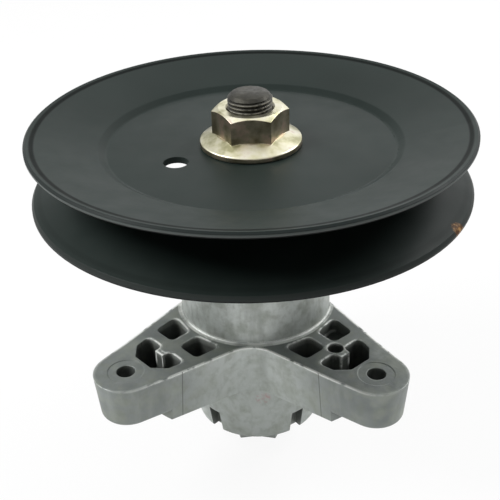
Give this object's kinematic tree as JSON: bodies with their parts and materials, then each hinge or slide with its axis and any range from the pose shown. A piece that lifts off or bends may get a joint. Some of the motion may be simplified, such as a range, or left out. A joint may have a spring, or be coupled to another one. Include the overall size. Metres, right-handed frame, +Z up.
{
  "type": "mower deck spindle",
  "caption": "Mower deck spindle: cast three-arm housing carrying a shaft on sealed ball bearings, with a V-belt pulley clamped on top by a flange nut.",
  "frame": {"origin": "on the shaft axis, in the plane of the deck that the arms' bolt pads rest on", "axes": "+Z up the shaft to the pulley nut; two arms point between -Y and X at the front, the third along +Y"},
  "size_m": [0.1588, 0.1588, 0.1469],
  "materials": {
    "cast_aluminium": "as cast, slightly rough",
    "dark_steel": "dark, turned",
    "black_coat": "satin black coating",
    "yellow_zinc": "pale yellow zinc plating",
    "turned_steel": "turned",
    "bearing_steel": "ground",
    "polished_steel": "polished",
    "cage_steel": "pressed",
    "seal_rubber": "matt black"
  },
  "bodies": {
    "housing": {"spindle_housing": "cast_aluminium", "upper_bearing_outer_race": "bearing_steel", "upper_bearing_upper_seal": "seal_rubber", "upper_bearing_lower_seal": "seal_rubber", "lower_bearing_outer_race": "bearing_steel", "lower_bearing_upper_seal": "seal_rubber", "lower_bearing_lower_seal": "seal_rubber"},
    "rotor": {"spindle_shaft": "dark_steel", "pulley_upper_half": "black_coat", "pulley_lower_half": "black_coat", "pulley_nut": "yellow_zinc", "pulley_spacer": "turned_steel", "bearing_spacer": "turned_steel", "upper_bearing_inner_race": "bearing_steel", "lower_bearing_inner_race": "bearing_steel"},
    "upper_bearing_ball_set": {"upper_bearing_balls": "polished_steel", "upper_bearing_cage_upper_half": "cage_steel", "upper_bearing_cage_lower_half": "cage_steel", "upper_bearing_cage_rivets": "cage_steel"},
    "lower_bearing_ball_set": {"lower_bearing_balls": "polished_steel", "lower_bearing_cage_upper_half": "cage_steel", "lower_bearing_cage_lower_half": "cage_steel", "lower_bearing_cage_rivets": "cage_steel"}
  },
  "joints": [
    {"name": "spindle_spin", "type": "hinge", "parent": "housing", "child": "rotor", "pos_m": [0, 0, 0], "axis": [0, 0, 1], "continuous": true},
    {"name": "upper_bearing_cage_spin", "type": "hinge", "parent": "housing", "child": "upper_bearing_ball_set", "pos_m": [0, 0, 0], "axis": [0, 0, 1], "continuous": true},
    {"name": "lower_bearing_cage_spin", "type": "hinge", "parent": "housing", "child": "lower_bearing_ball_set", "pos_m": [0, 0, 0], "axis": [0, 0, 1], "continuous": true}
  ],
  "couplings": [
    {"joint": "upper_bearing_cage_spin", "follows": "spindle_spin", "ratio": 0.3816},
    {"joint": "lower_bearing_cage_spin", "follows": "spindle_spin", "ratio": 0.3816}
  ]
}
